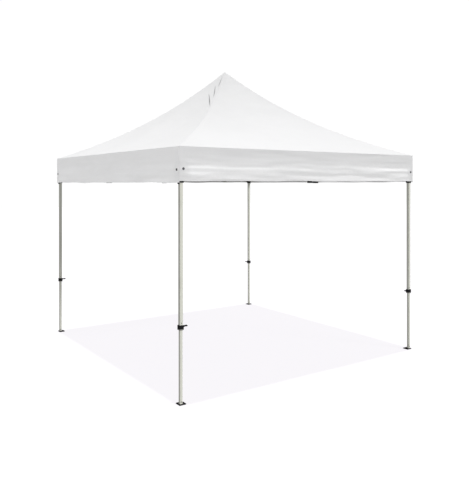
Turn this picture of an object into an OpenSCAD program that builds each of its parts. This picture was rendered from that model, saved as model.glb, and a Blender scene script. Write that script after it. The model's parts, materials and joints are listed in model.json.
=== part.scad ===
/* [Cover] */
// Width of the cover along each side, over the valance
cover_w = 3048; // [3040:1:3060]
// Height of the eave, where the roof meets the valance
eave_h = 2180; // [2180:1:2200]
// Height of the roof's peak
peak_h = 3200; // [3190:1:3260]
// Drop of the valance below the eave
valance_drop = 300; // [200:10:320]
// Thickness of the cover cloth as a solid
cloth_t = 2; // [1.5:0.5:3]
// Share of the roof's rise that is straight, the rest sweeps up to the peak
roof_straight = 0.6; // [0.5:0.05:0.9]
// Power of the sweep up to the peak
roof_power = 2.5; // [2:0.1:3]
// Gap at the sewn seams between panels
seam_gap = 0.4; // [0.2:0.1:0.6]

/* [Scissor frame] */
// Distance between leg centres along each side
leg_span = 2984; // [2960:2:2990]
// Height of the top pivots
top_pivot_h = 2142; // [2130:1:2142]
// Height from the bottom pivots to the top pivots
truss_h = 235; // [220:1:260]
// Distance from the mast to the hub pivots
hub_pivot_r = 50; // [48:1:54]
// Distance from a mid-side joint's centre to its pivots
mid_pivot_off = 40; // [40:1:46]
// Distance from a leg's centre to its pivots
leg_pivot_off = 50; // [46:1:60]
// Width of a scissor bar
bar_h = 24; // [20:1:24]
// Thickness of a scissor bar
bar_t = 11; // [9:0.5:11]
// Wall of a scissor bar
bar_wall = 0.8; // [0.8:0.1:1.5]
// Length of the solid plug in each bar end
bar_plug = 20; // [16:1:30]
// Gap between neighbouring layers of a scissor
layer_gap = 0.3; // [0.2:0.1:0.5]

/* [Pivots and brackets] */
// Radius of the pivot rivets
rivet_r = 4; // [3:0.5:5]
// Radial clearance of a rivet in its bar
rivet_clear = 0.07; // [0.03:0.01:0.1]
// Radius of a rivet head
rivet_head_r = 7; // [6:0.5:8]
// Height of a rivet head
rivet_head_t = 2.5; // [2:0.5:3]
// Thickness of a bracket's ear
ear_t = 3; // [2.5:0.5:3]
// Radius of a bracket's ear round its pivot
ear_r = 12; // [10:0.5:12]
// Half the height of a mid-side joint's block
mid_block_h = 14; // [12:1:16]
// How far the lower middle bracket reaches below its block
mid_skirt_h = 21; // [10:1:24]

/* [Mast] */
// Outer radius of the lower mast tube
mast_r = 14; // [13:0.5:14]
// Wall of the mast tubes
mast_wall = 1.5; // [1.2:0.1:1.6]
// Radial gap between the two mast tubes
mast_gap = 0.3; // [0.2:0.1:0.5]
// Length of the lower mast tube
mast_lower_l = 1018; // [980:1:1020]
// Length of the upper mast tube, up to its cap
mast_upper_l = 743; // [720:1:800]
// Radius of the cap that holds up the peak
cap_r = 40; // [34:1:40]
// Outer radius of the hubs
hub_r = 30; // [26:1:32]

/* [Legs] */
// Width of the outer leg tube
leg_w = 30; // [29:0.5:30]
// Wall of the leg tubes
leg_wall = 1; // [0.8:0.1:1.5]
// Corner radius of the leg tubes
leg_corner = 2; // [1.5:0.5:3]
// Width of the telescoping lower leg tube
lower_w = 25; // [24:0.5:26]
// Length of the lower leg tube
lower_l = 932; // [800:1:1000]
// Height of the outer tube's lower end
leg_bottom_h = 640; // [630:1:645]
// Height of the top of the leg's top bracket
leg_top_h = 2172; // [2166:1:2174]
// Wall of the top bracket
bracket_wall = 4; // [3:0.5:5]
// Height of the leg's top bracket
bracket_h = 60; // [54:1:64]
// Height of the slider
slider_h = 53; // [50:1:56]
// Wall of the slider
slider_wall = 4.7; // [4:0.1:5]
// Gap between the slider and the leg
slider_gap = 0.3; // [0.3:0.1:0.6]
// Wall of the height collar
collar_wall = 5; // [4:0.5:6]
// Height of the height collar
collar_h = 40; // [36:1:40]

/* [Feet] */
// Width of the square foot plate
foot_w = 64; // [60:1:80]
// Thickness of the foot plate
foot_t = 8; // [6:0.5:9]
// Distance that the foot plate sits inward of its leg
foot_off = 10; // [6:1:12]
// Distance from a leg's centre to its stake holes
stake_off = 32; // [30:1:34]
// Radius of the stake holes
stake_r = 5.5; // [4:0.5:6]

/* [Hidden] */
$fn = 48;
sides = ["right", "back", "left", "front"];
corners = ["back_right", "back_left", "front_left", "front_right"];
// each side's leg ends, first the one anticlockwise of its middle, then the other one
ends = [["back", "front"], ["left", "right"], ["front", "back"], ["right", "left"]];

paint = "#dfded0";
nylon = "#1c1c1e";
cloth = "#f4f4f2";

leg_at = leg_span / 2;
bottom_pivot_h = top_pivot_h - truss_h;
truss_w = leg_at - mid_pivot_off - leg_pivot_off;   // the inner trusses are as wide as the side ones
bar_l = sqrt(truss_w * truss_w + truss_h * truss_h);
tilt = atan2(truss_h, truss_w);
layer = bar_t / 2 + layer_gap;                      // a bar's middle, from the plane of its truss
ear_in = bar_t / 2 + layer_gap;                     // an ear's near face, from its bar's middle
ear_out = ear_in + ear_t;
web_gap = bar_h / 2 + 1.5;                          // from a pivot to the nearest solid behind it
half = cover_w / 2;
roof_steps = 14;
collar_z = leg_bottom_h - 8;
rivet_z = leg_bottom_h + 50;
leg_tube_top = leg_top_h - bracket_wall;
lever_pivot_x = -leg_w / 2 - collar_wall - 7;
lever_pivot_z = leg_bottom_h + 20;
lever_w = 14;
lever_t = 10;
lever_end_r = 6.5;
lever_l = 31;
lever_eye_r = 5.5;
lever_pin_r = 2.5;
slider_z = bottom_pivot_h - 33;
button_z = slider_z - 4;                            // its boss hangs below the slider
button_boss_r = 8;
button_r = 5;
button_travel = 4;
button_boss_t = 5;
plug_h = 36;

/* ---- cover ---- */

function roof_z(t) = eave_h + (peak_h - eave_h)
    * (roof_straight * t + (1 - roof_straight) * pow(t, roof_power));

// the roof's profile from the eave to the peak, one cloth thick
module roof_profile() {
    polygon(concat(
        [for (i = [0:roof_steps]) [half * (1 - i / roof_steps), roof_z(i / roof_steps)]],
        [for (i = [roof_steps:-1:0]) [half * (1 - i / roof_steps), roof_z(i / roof_steps) - 1.2 * cloth_t]]));
}

// one of the four roof panels, cut along the two hips
module roof_panel() {
    intersection() {
        rotate([90, 0, 0])
            translate([0, 0, -half])
                linear_extrude(2 * half) roof_profile();
        linear_extrude(peak_h + 1)
            polygon([[seam_gap, 0], [half + 1, half + 1 - seam_gap], [half + 1, -half - 1 + seam_gap]]);
    }
}

// one side's valance, mitred at the corners
module valance_panel() {
    translate([0, 0, eave_h - valance_drop])
        linear_extrude(valance_drop - 1.2 * cloth_t - seam_gap)
            polygon([[half, half - seam_gap], [half - cloth_t, half - cloth_t - seam_gap],
                     [half - cloth_t, -half + cloth_t + seam_gap], [half, -half + seam_gap]]);
}

module canopy_top() {
    color(cloth)
        for (i = [0:3]) rotate([0, 0, 90 * i]) {
            roof_panel();
            valance_panel();
        }
}

/* ---- scissor parts: x runs along the truss, y is square to it ---- */

module across(r, from, to) {
    translate([0, from, 0]) rotate([-90, 0, 0]) cylinder(r = r, h = to - from);
}

// a bar from its pivot at the origin along +x, hollow between its plugged ends
module bar() {
    difference() {
        union() {
            translate([0, -bar_t / 2, -bar_h / 2]) cube([bar_l, bar_t, bar_h]);
            across(bar_h / 2, -bar_t / 2, bar_t / 2);
            translate([bar_l, 0, 0]) across(bar_h / 2, -bar_t / 2, bar_t / 2);
        }
        translate([bar_plug, bar_wall - bar_t / 2, bar_wall - bar_h / 2])
            cube([bar_l - 2 * bar_plug, bar_t - 2 * bar_wall, bar_h - 2 * bar_wall]);
        for (x = [0, bar_l / 2, bar_l]) translate([x, 0, 0])
            across(rivet_r + rivet_clear, -bar_t, bar_t);
    }
}

// the rivet through both bars where they cross
module cross_rivet() {
    reach = layer + ear_in;
    across(rivet_r, -reach - rivet_head_t, reach + rivet_head_t);
    across(rivet_head_r, reach, reach + rivet_head_t);
    across(rivet_head_r, -reach - rivet_head_t, -reach);
}

module bar_down() {
    color(paint) {
        translate([0, layer, truss_h]) rotate([0, tilt, 0]) bar();
        translate([truss_w / 2, 0, truss_h / 2]) cross_rivet();
    }
}

module bar_up() {
    color(paint) translate([0, -layer, 0]) rotate([0, -tilt, 0]) bar();
}

// two ears and a rivet round a pivot at the origin; side is the bar's layer, the solid is toward -x
module clevis(side, reach) {
    translate([0, side * layer, 0]) {
        for (s = [-1, 1]) scale([1, s, 1]) {
            translate([-reach, ear_in, -ear_r]) cube([reach, ear_t, 2 * ear_r]);
            across(ear_r, ear_in, ear_out);
            across(rivet_head_r, ear_out, ear_out + rivet_head_t);
        }
        across(rivet_r, -ear_out, ear_out);
        translate([-reach, -ear_out, -ear_r]) cube([reach - web_gap, 2 * ear_out, 2 * ear_r]);
    }
}

/* ---- places ---- */

module at_inner_truss() { translate([hub_pivot_r, 0, bottom_pivot_h]) children(); }

// the side truss from its middle towards the leg at +y (h = 1) or at -y (h = -1)
module at_side_truss(h) {
    scale([1, h, 1]) translate([leg_at, mid_pivot_off, bottom_pivot_h]) rotate([0, 0, 90]) children();
}

// moves a part made at the back right leg to another leg
module at_corner(i) {
    scale([i == 1 || i == 2 ? -1 : 1, i >= 2 ? -1 : 1, 1]) translate([leg_at, leg_at, 0]) children();
}

/* ---- hubs and mast ---- */

module hub_ring(side, bore_r, z) {
    difference() {
        union() {
            translate([0, 0, z - ear_r - 2]) cylinder(r = hub_r, h = 2 * ear_r + 4);
            for (i = [0:3]) rotate([0, 0, 90 * i])
                translate([hub_pivot_r, 0, z]) clevis(side, hub_pivot_r - hub_r + 5);
        }
        translate([0, 0, z - 2 * ear_r]) cylinder(r = bore_r, h = 4 * ear_r);
    }
}

module hub_upper() {
    color(nylon) hub_ring(1, mast_r + 2, top_pivot_h);
}

module hub_lower() {
    color(nylon) hub_ring(-1, mast_r, bottom_pivot_h);
    color(paint) difference() {
        translate([0, 0, bottom_pivot_h - 25]) cylinder(r = mast_r, h = mast_lower_l);
        translate([0, 0, bottom_pivot_h - 26]) cylinder(r = mast_r - mast_wall, h = mast_lower_l + 2);
    }
}

// the cap's dome stays under the roof, which falls about as fast as it runs near the peak
function dome(r, top, foot) = [[0, top], [0.3 * r, top - 5], [0.62 * r, top - 18], [0.9 * r, top - 35],
                               [r, top - 47], [r, foot], [0, foot]];

module mast_upper() {
    cap_z = peak_h - 15;
    cap_wall = 4;
    tube_r = mast_r - mast_wall - mast_gap;
    tube_top = cap_z - 12;
    color(nylon) rotate_extrude() difference() {
        polygon(dome(cap_r, cap_z, cap_z - 60));
        polygon(dome(cap_r - cap_wall, cap_z - 1.5 * cap_wall, cap_z - 61));
    }
    color(paint) translate([0, 0, tube_top - mast_upper_l]) difference() {
        cylinder(r = tube_r, h = mast_upper_l);
        translate([0, 0, -1]) cylinder(r = tube_r - mast_wall, h = mast_upper_l - 5);
    }
}

/* ---- mid-side joints ---- */

// holds one inner bar and the two side bars of the same layer
module mid_joint(inner_side, outer_side, z, skirt) {
    depth = 2 * (mid_pivot_off - web_gap);
    color(nylon) {
        translate([leg_at - mid_pivot_off + web_gap, -depth / 2, z - mid_block_h - skirt])
            cube([mid_pivot_off, depth, 2 * mid_block_h + skirt]);
        translate([leg_at - mid_pivot_off, 0, z]) mirror([1, 0, 0]) clevis(inner_side, web_gap + 4);
        for (h = [-1, 1]) at_side_truss(h)
            translate([0, 0, z - bottom_pivot_h]) clevis(outer_side, web_gap + 4);
    }
}

module mid_joint_top() { mid_joint(-1, 1, top_pivot_h, 0); }

module mid_joint_bottom() { mid_joint(1, -1, bottom_pivot_h, mid_skirt_h); }

/* ---- legs: made at the origin, with the canopy's middle toward -x and -y ---- */

module rounded_square(w) {
    square([w - 2 * leg_corner, w], center = true);
    square([w, w - 2 * leg_corner], center = true);
    for (x = [-1, 1], y = [-1, 1])
        translate([x, y] * (w / 2 - leg_corner)) circle(r = leg_corner);
}

module square_tube(w, z, h) {
    translate([0, 0, z]) linear_extrude(h) difference() {
        rounded_square(w);
        square(w - 2 * leg_wall, center = true);
    }
}

// a clevis toward each of the two side trusses that meet at the leg
module corner_clevises(side, z, reach) {
    for (m = [[0, 0, 0], [1, -1, 0]]) mirror(m)
        translate([0, -leg_pivot_off, z]) rotate([0, 0, 90]) mirror([1, 0, 0]) clevis(side, reach);
}

module square_block(w, z, h) { translate([-w / 2, -w / 2, z]) cube([w, w, h]); }

module leg_outer() {
    color(paint) difference() {
        square_tube(leg_w, leg_bottom_h, leg_tube_top - leg_bottom_h);
        translate([0, 0, rivet_z]) across(rivet_r, -leg_w, leg_w);
    }
}

module leg_fittings() {
    bracket_w = leg_w + 2 * bracket_wall;
    collar_w = leg_w + 2 * collar_wall;
    color(nylon) {
        // top bracket
        difference() {
            union() {
                square_block(bracket_w, leg_top_h - bracket_h, bracket_h);
                corner_clevises(-1, top_pivot_h, leg_pivot_off - leg_w / 2);
            }
            square_block(leg_w, leg_top_h - bracket_h - 1, bracket_h + 1 - bracket_wall);
        }
        // height collar, with a lip under the outer tube and ears for the lever
        difference() {
            union() {
                square_block(collar_w, collar_z, collar_h);
                for (s = [-1, 1]) translate([0, s * (lever_w / 2 + layer_gap + ear_t / 2), 0]) {
                    translate([lever_pivot_x, -ear_t / 2, lever_pivot_z - 7])
                        cube([8, ear_t, 14]);
                    translate([lever_pivot_x, 0, lever_pivot_z]) across(7, -ear_t / 2, ear_t / 2);
                }
                translate([lever_pivot_x, 0, lever_pivot_z])
                    across(lever_pin_r, -lever_w / 2 - 1, lever_w / 2 + 1);
            }
            square_block(leg_w, leg_bottom_h, collar_h);
            square_block(lower_w + 0.6, collar_z - 1, 20);
        }
        // flush rivets above the collar
        for (s = [0, 180]) rotate([0, 0, s]) translate([0, 0, rivet_z])
            across(rivet_r - 0.05, leg_w / 2 - leg_wall, leg_w / 2);
    }
}

module along_x(r, from, to) { translate([from, 0, 0]) rotate([0, 90, 0]) cylinder(r = r, h = to - from); }

module slider() {
    bore_w = leg_w + 2 * slider_gap;
    slider_w = bore_w + 2 * slider_wall;
    color(nylon) difference() {
        union() {
            square_block(slider_w, slider_z, slider_h);
            corner_clevises(1, bottom_pivot_h, leg_pivot_off - slider_w / 2 + 1);
            translate([0, 0, button_z])
                along_x(button_boss_r, leg_w / 2 + 2, slider_w / 2 + button_boss_t);
        }
        square_block(bore_w, slider_z - 1, slider_h + 2);
        translate([0, 0, button_z]) along_x(button_r + 0.1, 0, slider_w);
    }
}

module lock_button() {
    from = leg_w / 2 + slider_gap + button_travel + 0.3;
    color(nylon) translate([0, 0, button_z])
        along_x(button_r, from, leg_w / 2 + slider_gap + slider_wall + button_boss_t + button_travel);
}

module leg_lower() {
    inner_w = lower_w - 2 * leg_wall;
    color(paint) square_tube(lower_w, foot_t, lower_l);
    color(nylon) {
        difference() {
            translate([-foot_w / 2 - foot_off, -foot_w / 2 - foot_off, 0]) cube([foot_w, foot_w, foot_t]);
            for (p = [[-stake_off, 0, -1], [0, -stake_off, -1]])
                translate(p) cylinder(r = stake_r, h = foot_t + 2);
        }
        // plug and its bolt
        square_block(inner_w, foot_t, plug_h);
        translate([0, 0, foot_t + plug_h / 2]) for (s = [0, 1]) rotate([0, 0, 180 * s])
            across(rivet_r, lower_w / 2, lower_w / 2 + 2);
    }
}

module adjuster_lever() {
    color(nylon) translate([lever_pivot_x, 0, lever_pivot_z]) difference() {
        union() {
            across(lever_eye_r, -lever_w / 2, lever_w / 2);
            translate([-lever_l, -lever_w / 2, lever_eye_r - lever_t]) cube([lever_l, lever_w, lever_t]);
            translate([-lever_l, 0, lever_eye_r - lever_t / 2])
                across(lever_end_r, -lever_w / 2 - 1, lever_w / 2 + 1);
        }
        across(lever_pin_r + 0.08, -lever_w, lever_w);
    }
}

/* ---- assembly ---- */

canopy_top();
hub_upper();
hub_lower();
mast_upper();

for (i = [0:3]) rotate([0, 0, 90 * i]) {
    side = sides[i];
    at_inner_truss() bar_down();
    at_inner_truss() bar_up();
    mid_joint_top();
    mid_joint_bottom();
    for (k = [0, 1]) at_side_truss(1 - 2 * k) {
        bar_down();
        bar_up();
    }
}

for (i = [0:3]) at_corner(i) {
    corner = corners[i];
    leg_outer();
    leg_fittings();
    slider();
    lock_button();
    leg_lower();
    adjuster_lever();
}
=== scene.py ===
import json
import math

import bmesh
import bpy
from mathutils import Matrix, Vector, noise

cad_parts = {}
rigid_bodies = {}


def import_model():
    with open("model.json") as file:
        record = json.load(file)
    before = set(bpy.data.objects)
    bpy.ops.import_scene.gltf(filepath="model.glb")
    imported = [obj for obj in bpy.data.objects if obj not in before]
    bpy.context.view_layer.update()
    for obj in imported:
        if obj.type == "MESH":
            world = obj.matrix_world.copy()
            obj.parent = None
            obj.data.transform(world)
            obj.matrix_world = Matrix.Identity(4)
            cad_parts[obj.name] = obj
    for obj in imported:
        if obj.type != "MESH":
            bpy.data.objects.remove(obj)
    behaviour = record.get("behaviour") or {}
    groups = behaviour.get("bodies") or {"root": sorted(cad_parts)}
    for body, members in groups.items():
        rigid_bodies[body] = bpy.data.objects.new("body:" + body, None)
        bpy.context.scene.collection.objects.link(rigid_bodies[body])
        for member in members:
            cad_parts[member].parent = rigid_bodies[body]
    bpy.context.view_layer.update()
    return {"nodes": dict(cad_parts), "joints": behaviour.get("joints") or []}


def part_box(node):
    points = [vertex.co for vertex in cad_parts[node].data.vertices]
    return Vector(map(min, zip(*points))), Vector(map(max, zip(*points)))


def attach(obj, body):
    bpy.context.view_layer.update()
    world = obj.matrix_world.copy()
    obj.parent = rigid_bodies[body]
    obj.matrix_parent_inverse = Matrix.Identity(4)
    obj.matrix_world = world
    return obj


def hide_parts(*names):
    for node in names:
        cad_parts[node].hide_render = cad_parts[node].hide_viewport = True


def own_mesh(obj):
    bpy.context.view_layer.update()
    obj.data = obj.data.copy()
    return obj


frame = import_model()

# ---- sizes, in metres, from the frame ----
SIDES = ["right", "back", "left", "front"]
CORNERS = ["back_right", "back_left", "front_left", "front_right"]
JOINTS = {joint["name"]: joint for joint in frame["joints"]}

cover_low, cover_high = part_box("canopy_top")
HALF = cover_high[0]                       # half the cover's width
HEM_Z = cover_low[2]                       # the valance's lower edge
DROP = 0.300                               # the valance's drop
EAVE_Z = HEM_Z + DROP
RISE = cover_high[2] + 0.0004 - EAVE_Z     # from the eave to the peak
STRAIGHT, POWER = 0.6, 2.5                 # the roof's profile, as in the CAD model

LEG_AT = JOINTS["leg_pivot_back_right"]["pos_m"][0]
MID_PIVOT = JOINTS["side_top_pivot_right_back"]["pos_m"][1]
LEG_PIVOT = JOINTS["leg_pivot_back_right"]["pos_m"][1]
TRUSS_W = LEG_PIVOT - MID_PIVOT
TRUSS_H = JOINTS["canopy_fold"]["pos_m"][2] - JOINTS["hub_lower_pivot"]["pos_m"][2]
FOLD = math.radians(JOINTS["canopy_fold"]["range_deg"][1])
BAR_L = math.hypot(TRUSS_W, TRUSS_H)
FOLDED_W = BAR_L * math.cos(math.atan2(TRUSS_H, TRUSS_W) + FOLD)
FOLD_IN = TRUSS_W - FOLDED_W               # how far a side moves inward as the frame folds

CROWN = HALF - FOLD_IN - 0.0135            # half the crown's width, just inside the folded valance
FIRST_END = 0.540                          # where the cloth passes from one bar of a scissor to the other
LAST_END = FOLD_IN                         # where it passes to the leg
CLOTH_T = 0.0012
ROOF_SAG = 0.030                           # how far the middle of a panel hangs in
TAPE_W, TAPE_T = 0.024, 0.0016             # the tape over each hip seam
HEM_W = 0.022
HEM_RISE = [0.003, 0.003, -0.004, 0.009]   # for the right, back, left and front sides
SIDE_FOLDS = [1.0, 1.0, 0.4, 1.0]          # how much their valances wrinkle
# the roof's pulled creases, drawn as a bump and as painted shade, each from near the peak to a hip,
# outward and along the eave
CREASES = [((0.07, 0.04), (0.22, 0.18)), ((0.17, 0.05), (0.39, 0.34)), ((0.285, 0.085), (0.575, 0.55))]
CREASE_W = 0.008
COLUMN_STEP = 0.020                        # between the valance's columns of points
PATCH_W = 0.085
PATCH_TOP, PATCH_LOW = 0.40, 0.88          # shares of the drop
EYELET_IN, EYELET_SHARE = 0.040, 0.64      # from the corner, and down the drop
# radius and height of the rolled ring, from the hole's middle to its outer edge; the first two points
# close the hole with a flat disc of the dark eyelet metal, painted shade for the hole
EYELET_PROFILE = [(0.0001, 0.0002), (0.0042, 0.0002), (0.0048, 0.0026), (0.0075, 0.0038),
                  (0.0105, 0.0032), (0.0118, 0.0008)]

# the bounds that part one material from another on a CAD node, each a little past the CAD model's own
FOOT_TOP = 0.0082
LOWER_TUBE_HALF = 0.01255                  # half the lower leg tube's width
COLLAR_LIP_TOP = 0.6402                    # the outer leg tube's lower end
HUB_Z = JOINTS["hub_lower_pivot"]["pos_m"][2]
HUB_LOW, HUB_TOP = HUB_Z - 0.0141, HUB_Z + 0.0141
HUB_MAST_R, HUB_BORE_R = 0.0143, 0.0139    # round the lower mast tube, and its end in the hub
MAST_R = 0.0135
MAST_TUBE_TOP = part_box("mast_upper")[1][2] - 0.0125
HEAD_R = 0.0072                            # a hinge rivet's head
HEAD_REACH = 0.03                          # how near its joint a rivet's face can be
EAR_IN, EAR_GAP, EAR_OUT = 0.0031, 0.0057, 0.0147    # where the ears start, part and end along a rivet
CROSS_RIVET_OUT = 0.0114                   # how far out a scissor's own rivet shows

PAINTED = ("inner_bar", "side_bar", "leg_outer", "leg_lower", "mast_upper", "hub_lower")

AMBIENT = 0.34                             # the light from all round
BACKDROP = 1.02                            # the white behind, as the camera sees it


def leg_of(side, h):
    """The name of the leg at a side's end, h = 1 anticlockwise of its middle or -1."""
    return CORNERS[side if h > 0 else (side + 3) % 4]


def end_of(side, h):
    """The frame's name for a side's end, such as right_back."""
    return f"{SIDES[side]}_{SIDES[(side + 1) % 4] if h > 0 else SIDES[(side + 3) % 4]}"


def turned(points, side):
    """Points made for the right side, turned to another side."""
    quarter = Matrix.Rotation(side * math.pi / 2, 3, "Z")
    return [tuple(quarter @ Vector(p)) for p in points]


# ---- materials ----

def new_material(name, colour, rough, metallic=0.0):
    material = bpy.data.materials.new(name)
    material.use_nodes = True
    nodes, links = material.node_tree.nodes, material.node_tree.links
    shader = nodes["Principled BSDF"]
    shader.inputs["Base Color"].default_value = (*colour, 1)
    shader.inputs["Roughness"].default_value = rough
    shader.inputs["Metallic"].default_value = metallic
    return material, nodes, links, shader


def noise_node(nodes, links, scale, detail=3.0, stretch=(1, 1, 1), rough=0.5):
    place = nodes.new("ShaderNodeTexCoord")
    mapping = nodes.new("ShaderNodeMapping")
    mapping.inputs["Scale"].default_value = stretch
    links.new(place.outputs["Object"], mapping.inputs["Vector"])
    texture = nodes.new("ShaderNodeTexNoise")
    texture.inputs["Scale"].default_value = scale
    texture.inputs["Detail"].default_value = detail
    texture.inputs["Roughness"].default_value = rough
    links.new(mapping.outputs["Vector"], texture.inputs["Vector"])
    return texture


def ramp_node(nodes, links, source, stops):
    ramp = nodes.new("ShaderNodeValToRGB")
    elements = ramp.color_ramp.elements
    while len(elements) < len(stops):
        elements.new(0.5)
    for element, (at, colour) in zip(elements, stops):
        element.position = at
        element.color = (*colour, 1)
    links.new(source, ramp.inputs["Fac"])
    return ramp


def bump_node(nodes, links, height, strength, distance, before=None):
    bump = nodes.new("ShaderNodeBump")
    bump.inputs["Strength"].default_value = strength
    bump.inputs["Distance"].default_value = distance
    links.new(height, bump.inputs["Height"])
    if before is not None:
        links.new(before, bump.inputs["Normal"])
    return bump


def math_node(nodes, links, operation, *values):
    node = nodes.new("ShaderNodeMath")
    node.operation = operation
    for socket, value in zip(node.inputs, values):
        if isinstance(value, (int, float)):
            socket.default_value = value
        else:
            links.new(value, socket)
    return node.outputs[0]


def weave_height(nodes, links, pitch):
    """Crossed threads, from waves along the sum and the difference of x and y, and along z."""
    place = nodes.new("ShaderNodeTexCoord")
    parts = nodes.new("ShaderNodeSeparateXYZ")
    links.new(place.outputs["Object"], parts.inputs["Vector"])
    x, y, z = (parts.outputs[axis] for axis in "XYZ")

    def wave(along):
        angle = math_node(nodes, links, "MULTIPLY", along, 2 * math.pi / pitch)
        return math_node(nodes, links, "SINE", angle)

    x_and_y = math_node(nodes, links, "ADD", x, y)
    x_less_y = math_node(nodes, links, "SUBTRACT", x, y)
    both = math_node(nodes, links, "ADD", wave(z), wave(x_less_y))
    return math_node(nodes, links, "MULTIPLY", wave(x_and_y), both)


def cloth_material(name, colour, with_crease_bump_and_shade=False):
    """White coated polyester: fine weave, soft wrinkles, faint mottling, and the roof's pulled creases as
    a bump with painted shade along them.
    """
    material, nodes, links, shader = new_material(name, colour, 0.62)
    shader.inputs["Sheen Weight"].default_value = 0.12
    shader.inputs["Sheen Roughness"].default_value = 0.45
    shader.inputs["Specular IOR Level"].default_value = 0.35
    mottle = noise_node(nodes, links, 1.7, 4.0)
    tone = ramp_node(nodes, links, mottle.outputs["Fac"],
                     [(0.3, tuple(c * 0.975 for c in colour)), (0.7, colour)])
    base = tone.outputs["Color"]
    wrinkles = noise_node(nodes, links, 3.2, 3.0, (1, 1, 2.2), 0.45)
    first = bump_node(nodes, links, wrinkles.outputs["Fac"], 0.35, 0.02)
    fine = noise_node(nodes, links, 28.0, 3.0)
    second = bump_node(nodes, links, fine.outputs["Fac"], 0.15, 0.003, first.outputs["Normal"])
    weave = bump_node(nodes, links, weave_height(nodes, links, 0.0016), 0.25, 0.0003,
                      second.outputs["Normal"])
    if with_crease_bump_and_shade:
        creases = peak_creases(nodes, links)
        # painted shade: the crease lines are darkened in the colour to stand for the shade in their folds
        crease_painted_shade = nodes.new("ShaderNodeMixRGB")
        links.new(creases, crease_painted_shade.inputs["Fac"])
        links.new(base, crease_painted_shade.inputs["Color1"])
        crease_painted_shade.inputs["Color2"].default_value = (0.30, 0.30, 0.31, 1)
        base = crease_painted_shade.outputs["Color"]
        weave = bump_node(nodes, links, math_node(nodes, links, "SUBTRACT", 1, creases), 1.0, 0.006,
                          weave.outputs["Normal"])
    links.new(base, shader.inputs["Base Color"])
    links.new(weave.outputs["Normal"], shader.inputs["Normal"])
    return material


def crease(nodes, links, u, v, start, end):
    """1 along a line on a roof panel, from start to end in its own u and v, fading to 0 beside it."""
    length = math.hypot(end[0] - start[0], end[1] - start[1])
    du, dv = (end[0] - start[0]) / length, (end[1] - start[1]) / length
    from_u = math_node(nodes, links, "SUBTRACT", u, start[0])
    from_v = math_node(nodes, links, "SUBTRACT", v, start[1])
    along = math_node(nodes, links, "ADD", math_node(nodes, links, "MULTIPLY", from_u, du),
                      math_node(nodes, links, "MULTIPLY", from_v, dv))
    across = math_node(nodes, links, "SUBTRACT", math_node(nodes, links, "MULTIPLY", from_u, dv),
                       math_node(nodes, links, "MULTIPLY", from_v, du))
    share = math_node(nodes, links, "DIVIDE", along, length)
    inside = math_node(nodes, links, "MULTIPLY", share, math_node(nodes, links, "SUBTRACT", 1, share))
    inside = math_node(nodes, links, "MAXIMUM", math_node(nodes, links, "MULTIPLY", inside, 4), 0)
    width = math_node(nodes, links, "MULTIPLY_ADD", inside, CREASE_W, 0.0005)
    beside = math_node(nodes, links, "DIVIDE", math_node(nodes, links, "ABSOLUTE", across), width)
    near = math_node(nodes, links, "MAXIMUM", math_node(nodes, links, "SUBTRACT", 1, beside), 0)
    return math_node(nodes, links, "MULTIPLY", near, math_node(nodes, links, "POWER", inside, 0.3))


def peak_creases(nodes, links):
    """The mask of the pulled creases that run from near the peak to a hip, on the left and the right
    panel, for their bump and their painted shade.
    """
    place = nodes.new("ShaderNodeTexCoord")
    parts = nodes.new("ShaderNodeSeparateXYZ")
    links.new(place.outputs["Object"], parts.inputs["Vector"])
    u = math_node(nodes, links, "ABSOLUTE", parts.outputs["X"])
    hand = math_node(nodes, links, "SIGN", parts.outputs["X"])
    v = math_node(nodes, links, "MULTIPLY", parts.outputs["Y"], hand)
    total = 0
    for start, end in CREASES:
        line = crease(nodes, links, u, v, start, end)
        total = math_node(nodes, links, "MAXIMUM", total, line)
    return total


def paint_material():
    """Cream powder coat with a fine orange peel, softened edges and faint rubbed patches."""
    colour = (0.88, 0.885, 0.785)
    material, nodes, links, shader = new_material("cream_powder_coat", colour, 0.38)
    wear = noise_node(nodes, links, 9.0, 6.0, (1, 1, 0.25), 0.65)
    tone = ramp_node(nodes, links, wear.outputs["Fac"],
                     [(0.30, (0.76, 0.765, 0.665)), (0.42, colour), (0.75, (0.90, 0.905, 0.81))])
    links.new(tone.outputs["Color"], shader.inputs["Base Color"])
    rub = ramp_node(nodes, links, wear.outputs["Fac"], [(0.3, (0.5,) * 3), (0.7, (0.34,) * 3)])
    links.new(rub.outputs["Color"], shader.inputs["Roughness"])
    edge = nodes.new("ShaderNodeBevel")
    edge.samples = 4
    edge.inputs["Radius"].default_value = 0.0018
    peel = noise_node(nodes, links, 900.0, 2.0)
    bump = bump_node(nodes, links, peel.outputs["Fac"], 0.2, 0.0002, edge.outputs["Normal"])
    links.new(bump.outputs["Normal"], shader.inputs["Normal"])
    return material


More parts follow.
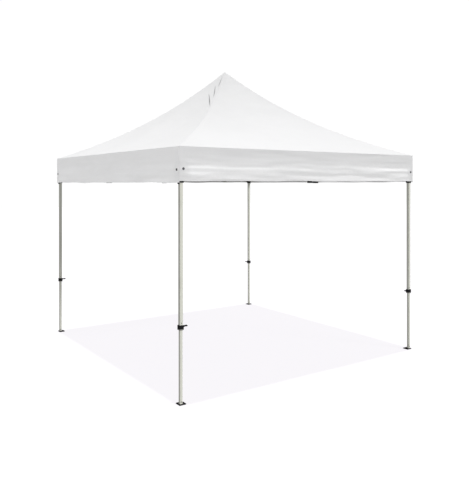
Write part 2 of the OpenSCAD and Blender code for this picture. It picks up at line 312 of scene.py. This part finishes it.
def nylon_material(name, colour, lip_colour=None):
    """Moulded nylon with a fine grain and dusty scuffs, and a paler lip under the height collar."""
    material, nodes, links, shader = new_material(name, colour, 0.65)
    shader.inputs["Specular IOR Level"].default_value = 0.2
    scuff = noise_node(nodes, links, 40.0, 5.0, (1, 1, 1), 0.6)
    tone = ramp_node(nodes, links, scuff.outputs["Fac"],
                     [(0.35, colour), (0.62, tuple(1.5 * c for c in colour)),
                      (0.8, tuple(3 * c for c in colour))])
    base = tone.outputs["Color"]
    if lip_colour:
        place = nodes.new("ShaderNodeTexCoord")
        parts = nodes.new("ShaderNodeSeparateXYZ")
        links.new(place.outputs["Object"], parts.inputs["Vector"])
        lip = nodes.new("ShaderNodeMixRGB")
        below = math_node(nodes, links, "LESS_THAN", parts.outputs["Z"], COLLAR_LIP_TOP)
        links.new(below, lip.inputs["Fac"])
        links.new(base, lip.inputs["Color1"])
        lip.inputs["Color2"].default_value = (*lip_colour, 1)
        base = lip.outputs["Color"]
    links.new(base, shader.inputs["Base Color"])
    edge = nodes.new("ShaderNodeBevel")
    edge.samples = 4
    edge.inputs["Radius"].default_value = 0.0015
    grain = noise_node(nodes, links, 1500.0, 2.0)
    bump = bump_node(nodes, links, grain.outputs["Fac"], 0.3, 0.0002, edge.outputs["Normal"])
    links.new(bump.outputs["Normal"], shader.inputs["Normal"])
    return material


def steel_material(name, colour, rough):
    """Plated or blackened steel for rivets and eyelets, with brushed streaks."""
    material, nodes, links, shader = new_material(name, colour, rough, 1.0)
    streak = noise_node(nodes, links, 300.0, 3.0, (1, 1, 0.1))
    tone = ramp_node(nodes, links, streak.outputs["Fac"],
                     [(0.3, tuple(c * 0.75 for c in colour)), (0.7, colour)])
    links.new(tone.outputs["Color"], shader.inputs["Base Color"])
    bump = bump_node(nodes, links, streak.outputs["Fac"], 0.2, 0.0001)
    links.new(bump.outputs["Normal"], shader.inputs["Normal"])
    return material


# the roof's cloth carries the creases' painted shade
ROOF_CLOTH = cloth_material("white_roof_polyester", (0.90, 0.90, 0.905), with_crease_bump_and_shade=True)
VALANCE_CLOTH = cloth_material("white_valance_polyester", (0.90, 0.90, 0.905))
HEM_CLOTH = cloth_material("white_hem_tape", (0.88, 0.88, 0.885))
PAINT = paint_material()
NYLON = nylon_material("black_moulded_nylon", (0.010, 0.010, 0.011))
COLLAR_NYLON = nylon_material("nylon_with_grey_lip", (0.010, 0.010, 0.011), (0.30, 0.30, 0.28))
RIVET = steel_material("zinc_rivet", (0.55, 0.55, 0.56), 0.35)
EYELET = steel_material("blackened_eyelet", (0.16, 0.16, 0.17), 0.4)


# ---- meshes ----

def sheet_mesh(name, grids, material, down, normal_of):
    """A closed thin sheet: grids of points, welded, with a second face moved by down and a rim between.

    normal_of gives the smooth normal at a point, for the face that a second point is the middle of,
    so that cloth cut into several pieces shades as one.
    """
    work = bmesh.new()
    for rows in grids:
        verts = [[work.verts.new(p) for p in row] for row in rows]
        for r in range(len(rows) - 1):
            for c in range(len(rows[0]) - 1):
                work.faces.new((verts[r][c], verts[r][c + 1], verts[r + 1][c + 1], verts[r + 1][c]))
    bmesh.ops.remove_doubles(work, verts=work.verts, dist=0.00002)
    bmesh.ops.dissolve_degenerate(work, edges=work.edges, dist=0.00002)
    work.normal_update()
    if sum(f.normal.dot(Vector(down)) * f.calc_area() for f in work.faces) > 0:
        bmesh.ops.reverse_faces(work, faces=work.faces)
    tops = list(work.faces)
    rim = [edge.link_loops[0] for edge in work.edges if edge.is_boundary]
    other = {v: work.verts.new(v.co + Vector(down)) for v in list(work.verts)}
    for face in tops:
        work.faces.new([other[v] for v in reversed(face.verts)])
    for corner in rim:
        a, b = corner.vert, corner.link_loop_next.vert
        work.faces.new((b, a, other[a], other[b]))
    mesh = bpy.data.meshes.new(name)
    work.to_mesh(mesh)
    work.free()
    mesh.materials.append(material)
    shade_as_one(mesh, normal_of)
    piece = bpy.data.objects.new(name, mesh)
    bpy.context.scene.collection.objects.link(piece)
    return piece


def shade_as_one(mesh, normal_of):
    """Sets the corner normals of a sheet from its surface's own formula, and leaves its rim flat."""
    normals = [None] * len(mesh.loops)
    for face in mesh.polygons:
        face.use_smooth = True
        facing = face.normal.dot(normal_of(face.center, face.center))
        for corner in face.loop_indices:
            place = mesh.vertices[mesh.loops[corner].vertex_index].co
            if abs(facing) < 0.5:
                normals[corner] = face.normal.copy()
            else:
                normals[corner] = normal_of(place, face.center) * math.copysign(1, facing)
    mesh.normals_split_custom_set(normals)


def steps(start, end, size):
    count = max(1, round(abs(end - start) / size))
    return [start + (end - start) * i / count for i in range(count + 1)]


# ---- roof ----

def wrinkle(x, y):
    """Slow waves of the stretched cloth, the same on both sides of a hip."""
    slow = noise.noise(Vector((x * 1.3, y * 1.3, 0.7)))
    quick = noise.noise(Vector((x * 4.1, y * 4.1, 3.1)))
    return 0.006 * slow + 0.0022 * quick


def roof_height(side, u, v):
    """The roof's height on a side's panel, u outward from the mast and v along the eave."""
    t = min(1, max(0, 1 - u / HALF))
    across = abs(v) / max(u, 0.0001)
    middle = 1 - across * across
    loose = 4 * t * (1 - t)
    x, y, _ = turned([(u, v, 0)], side)[0]
    height = EAVE_Z + RISE * (STRAIGHT * t + (1 - STRAIGHT) * t ** POWER)
    height -= ROOF_SAG * middle * loose
    return height + loose * wrinkle(x, y) + 0.4 * loose * middle * wrinkle(2 * x, 2 * y)


def roof_point(side, u, v):
    """A point of the roof, raised a little where the hip's tape doubles the cloth."""
    from_hip = (u - abs(v)) / math.sqrt(2)
    tape = TAPE_T if from_hip < TAPE_W / 2 else 0.0
    x, y, _ = turned([(u, v, 0)], side)[0]
    return x, y, roof_height(side, u, v) + tape


def roof_normal(side, x, y, reach=0.001):
    u, v, _ = turned([(x, y, 0)], -side)[0]
    here = roof_height(side, u, v)
    along_u = (roof_height(side, u + reach, v) - here) / reach
    along_v = (roof_height(side, u, v + reach) - roof_height(side, u, v - reach)) / (2 * reach)
    return Vector(turned([(-along_u, -along_v, 1)], side)[0]).normalized()


def panel_rows(side, low, high, inner, outer, column=0.030, row=0.030):
    """Columns of points for the part of a panel with v from low to high and u from inner to outer."""
    count = max(4, round(outer / row))
    columns = []
    for v in steps(low, high, column):
        start = max(inner, abs(v))
        length = outer - start
        edge = TAPE_W / math.sqrt(2)
        near = [min(d, 0.1 * length) for d in (0.0, edge - 0.0002, edge + 0.0013)]
        at = near + [near[-1] + (length - near[-1]) * i / count for i in range(1, count + 1)]
        columns.append([roof_point(side, start + d, v) for d in at])
    return columns


def side_of(place):
    """The side whose panel is over a place."""
    if abs(place.x) > abs(place.y):
        return 0 if place.x > 0 else 2
    return 1 if place.y > 0 else 3


def roof_piece(name, grids):
    piece = sheet_mesh(name, grids, ROOF_CLOTH, (0, 0, -CLOTH_T),
                       lambda place, middle: roof_normal(side_of(middle), place.x, place.y))
    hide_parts("canopy_top")
    return piece


def build_crown():
    """The square round the peak, over the mast's cap."""
    crown = roof_piece("roof_crown", [panel_rows(side, -CROWN, CROWN, 0.0, CROWN, CROWN / 12, 0.015)
                                      for side in range(4)])
    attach(crown, "mast_upper")


def build_roof_strips(side, h):
    """The cloth over one half of a side: two strips that fold with its scissor, and the leg's own."""
    end, leg = end_of(side, h), leg_of(side, h)
    anchor_u = HALF - 0.012
    anchor = (anchor_u, 0, roof_height(0, anchor_u, anchor_u))
    for part, low, high, body in (("a", CROWN, FIRST_END, f"side_bar_down_{end}"),
                                  ("b", FIRST_END, LAST_END, f"side_bar_up_{end}")):
        piece = roof_piece(f"roof_fold_{part}_{end}", [panel_rows(side, h * low, h * high, 0.0, HALF)])
        slope = (low - HALF, 0, roof_height(0, low, low) - EAVE_Z)
        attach(piece, body)
        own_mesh(piece)
    corner = roof_piece(f"roof_corner_{end}", [panel_rows(side, h * LAST_END, h * HALF, 0.0, HALF)])
    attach(corner, f"leg_{leg}")


def build_roof():
    build_crown()
    for side in range(4):
        name = SIDES[side]
        middle = roof_piece(f"roof_middle_{name}", [panel_rows(side, -CROWN, CROWN, CROWN, HALF)])
        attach(middle, "mast_upper")
        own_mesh(middle)
        for h in (1, -1):
            build_roof_strips(side, h)


# ---- valance ----

def hem_rise(side, v):
    """How far the hem hangs above the pattern's lower edge."""
    x, y, _ = turned([(HALF, v, 0)], side)[0]
    uneven = noise.noise(Vector((x * 2.6, y * 2.6, 5.0)))
    return HEM_RISE[side] + 0.010 * uneven


def valance_out(side, v, share):
    """How far out the valance is, share 0 at the eave to 1 at the hem."""
    x, y, _ = turned([(HALF, v, 0)], side)[0]
    along, z = x + y, share * DROP
    free = min(1, (HALF - abs(v)) / 0.12) * min(1, share / 0.08)
    pulled = 0.22 * min(HALF - v, 0.9)
    folds = 0.0060 * noise.noise(Vector((along * 0.9 + side, z * 11.0 - pulled, 2.0 + side)))
    folds += 0.0028 * noise.noise(Vector((along * 2.4, z * 24.0 - 2 * pulled, 9.0 + side)))
    flare = 0.014 * share * share - 0.005 * math.sin(math.pi * min(1, share * 1.6))
    wave = 0.008 * share * noise.noise(Vector((along * 2.2, 0.0, 4.0 + side)))
    return HALF - 0.0005 + free * SIDE_FOLDS[side] * (folds + flare + wave)


def valance_point(side, v, share):
    z = EAVE_Z - share * (DROP - hem_rise(side, v))
    return turned([(valance_out(side, v, share), v, z)], side)[0]


def valance_normal(side, place, reach=0.002):
    _, v, z = turned([tuple(place)], -side)[0]
    depth = DROP - hem_rise(side, v)
    share = min(1.0, max(0.0, (EAVE_Z - z) / depth))
    here = valance_out(side, v, share)
    along_v = (valance_out(side, v + reach, share) - here) / reach
    down = (valance_out(side, v, share + reach / depth) - here) / reach
    return Vector(turned([(1, -along_v, down)], side)[0]).normalized()


def build_valance():
    shares = [0.02 * i for i in range(51)]
    for side in range(4):
        out = Vector(turned([(1, 0, 0)], side)[0])
        for h in (1, -1):
            end, leg = end_of(side, h), leg_of(side, h)
            columns = [h * v for v in steps(0, HALF, COLUMN_STEP)]
            cloth = sheet_mesh(f"valance_{end}",
                               [[[valance_point(side, v, s) for v in columns] for s in shares]],
                               VALANCE_CLOTH, tuple(out * -CLOTH_T),
                               lambda place, middle, side=side: valance_normal(side, place))
            hem = build_hem(side, h, end, out)
            patch = build_patch(side, h, end, out)
            for piece in (cloth, hem, patch):
                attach(piece, f"leg_{leg}")
                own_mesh(piece)
                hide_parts("canopy_top")
            eyelet = build_eyelet(side, h, end)
            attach(eyelet, f"leg_{leg}")


def build_hem(side, h, end, out):
    """The hem, folded to the inside, so it shows as a doubled band."""
    columns = [h * v for v in steps(0, HALF, COLUMN_STEP)]
    share = 1 - HEM_W / DROP
    rows = [[tuple(Vector(valance_point(side, v, s)) + out * 0.0008) for v in columns]
            for s in (share, (1 + share) / 2, 1.0)]
    return sheet_mesh(f"valance_hem_{end}", [rows], HEM_CLOTH, tuple(out * -0.0032),
                      lambda place, middle: valance_normal(side, place))


def build_patch(side, h, end, out):
    """The reinforcing patch round the eyelet, with a rounded inner edge."""
    rows = []
    for i in range(13):
        share = PATCH_TOP + (PATCH_LOW - PATCH_TOP) * i / 12
        width = PATCH_W * (0.62 + 0.38 * math.sqrt(1 - (i / 6 - 1) ** 2))
        rows.append([tuple(Vector(valance_point(side, h * (HALF - 0.004 - width * k / 6), share))
                           + out * 0.0010) for k in range(7)])
    return sheet_mesh(f"valance_patch_{end}", [rows], HEM_CLOTH, tuple(out * -0.0008),
                      lambda place, middle: valance_normal(side, place))


def build_eyelet(side, h, end):
    """A rolled metal ring in the corner patch, with its hole drawn as a flat dark disc of painted shade.
    """
    where = Vector(valance_point(side, h * (HALF - EYELET_IN), EYELET_SHARE))
    out = Vector(turned([(1, 0, 0)], side)[0])
    along = Vector(turned([(0, 1, 0)], side)[0])
    rows = []
    for i in range(33):
        angle = 2 * math.pi * i / 32
        spoke = along * math.cos(angle) + Vector((0, 0, 1)) * math.sin(angle)
        rows.append([tuple(where + spoke * r + out * (d + 0.0010)) for r, d in EYELET_PROFILE])
    piece = sheet_mesh(f"eyelet_{end}", [rows], EYELET, tuple(out * -0.0008),
                       lambda place, middle: out)
    return piece


# ---- CAD nodes ----

def on_rivet(centre, hinges):
    """Whether a face is on a hinge rivet's head, between or outside the ears that it holds."""
    for joint in hinges:
        away = centre - Vector(joint["pos_m"])
        axis = Vector(joint["axis"])
        along = abs(away.dot(axis))
        beside = (away - axis * away.dot(axis)).length
        if beside < HEAD_R and away.length < HEAD_REACH:
            if along > EAR_OUT or EAR_IN < along < EAR_GAP:
                return True
    return False


def dress_node(node, piece, hinges):
    """Gives a CAD node its materials, and its rivets and feet their own."""
    mesh = piece.data
    painted = node.startswith(PAINTED)
    main, other = (PAINT, NYLON) if painted else (NYLON, PAINT)
    mesh.materials.clear()
    if node.startswith("leg_fittings"):
        main = COLLAR_NYLON
    for material in (main, other, RIVET):
        mesh.materials.append(material)
    for face in mesh.polygons:
        c = face.center
        index = 0
        if node.startswith("leg_lower"):
            leg = Vector((math.copysign(LEG_AT, c.x), math.copysign(LEG_AT, c.y), c.z))
            away = c - leg
            if c.z < FOOT_TOP or max(abs(away.x), abs(away.y)) > LOWER_TUBE_HALF:
                index = 1
        elif node == "hub_lower":
            radius = math.hypot(c.x, c.y)
            in_hub = HUB_LOW < c.z < HUB_TOP
            index = 1 if radius > HUB_MAST_R or (in_hub and radius > HUB_BORE_R) else 0
        elif node == "mast_upper":
            index = 1 if math.hypot(c.x, c.y) > MAST_R or c.z > MAST_TUBE_TOP else 0
        crossing = node.startswith(("inner_bar_down", "side_bar_down"))
        if index == 0 and crossing and off_plane(node, c) > CROSS_RIVET_OUT:
            index = 2
        if not painted and on_rivet(c, hinges):
            index = 2
        face.material_index = index


def off_plane(node, centre):
    """How far a point is from the plane of its scissor."""
    side = SIDES.index(node.split("_")[3])
    x, y, _ = turned([tuple(centre)], (4 - side) % 4)[0]
    return abs(y) if node.startswith("inner") else abs(x - LEG_AT)


def dress_frame():
    hinges = [joint for joint in frame["joints"] if joint["type"] == "hinge"
              and "press" not in joint["name"]]
    for node, piece in frame["nodes"].items():
        if node != "canopy_top":
            dress_node(node, piece, hinges)


# ---- stage, light and camera ----

def build_stage():
    """A pale floor that only the camera sees, a white world and three suns."""
    bpy.ops.mesh.primitive_plane_add(size=80, location=(0, 0, -0.0005))
    floor = bpy.context.object
    floor.name = "floor"
    material, nodes, links, shader = new_material("studio_floor", (0.15, 0.15, 0.15), 0.9)
    shader.inputs["Emission Color"].default_value = (0.985, 0.965, 1.0, 1)
    shader.inputs["Emission Strength"].default_value = 0.865
    floor.data.materials.append(material)
    floor.visible_diffuse = False
    floor.visible_glossy = False

    world = bpy.data.worlds.new("studio")
    bpy.context.scene.world = world
    world.use_nodes = True
    nodes, links = world.node_tree.nodes, world.node_tree.links
    background = nodes["Background"]
    background.inputs["Color"].default_value = (1, 1, 1, 1)
    path = nodes.new("ShaderNodeLightPath")
    seen = path.outputs["Is Camera Ray"]
    strength = math_node(nodes, links, "MULTIPLY_ADD", seen, BACKDROP - AMBIENT, AMBIENT)
    links.new(strength, background.inputs["Strength"])

    pieces = list(bpy.context.scene.objects)
    roof = [piece for piece in pieces if piece.name.startswith("roof_")]
    valance = [piece for piece in pieces if piece.name.startswith("valance_")]
    build_sun("top_sun", 0.84, 2, (0, 0))
    build_sun("front_sun", 0.49, 20, (65, 25), [piece for piece in pieces if piece not in roof])
    build_sun("valance_fill", 0.58, 30, (88, -90), valance)


def build_sun(name, strength, angle, turn, lit=None):
    """A soft sun that lights a white surface facing it to strength, tilted and then turned from the front.

    It lights everything, or only the objects in lit.
    """
    light = bpy.data.lights.new(name, "SUN")
    light.energy = strength * math.pi
    light.angle = math.radians(angle)
    lamp = bpy.data.objects.new(name, light)
    lamp.rotation_euler = (math.radians(turn[0]), 0, math.radians(turn[1]))
    bpy.context.scene.collection.objects.link(lamp)
    if lit:
        receivers = bpy.data.collections.new(f"lit_by_{name}")
        for piece in lit:
            receivers.objects.link(piece)
        lamp.light_linking.receiver_collection = receivers


def build_camera():
    camera = bpy.data.cameras.new("camera")
    camera.lens = 44.05
    camera.sensor_width = 36
    camera.shift_x = 0.032
    camera.shift_y = -0.1175
    eye = bpy.data.objects.new("camera", camera)
    eye.location = (-4.015, -5.7725, 1.866)
    eye.rotation_euler = (math.radians(90), 0, math.radians(-34.32))
    bpy.context.scene.collection.objects.link(eye)
    bpy.context.scene.camera = eye
    bpy.context.scene.view_settings.view_transform = "Standard"


build_camera()
build_roof()
build_valance()
dress_frame()
build_stage()

bpy.context.view_layer.update()
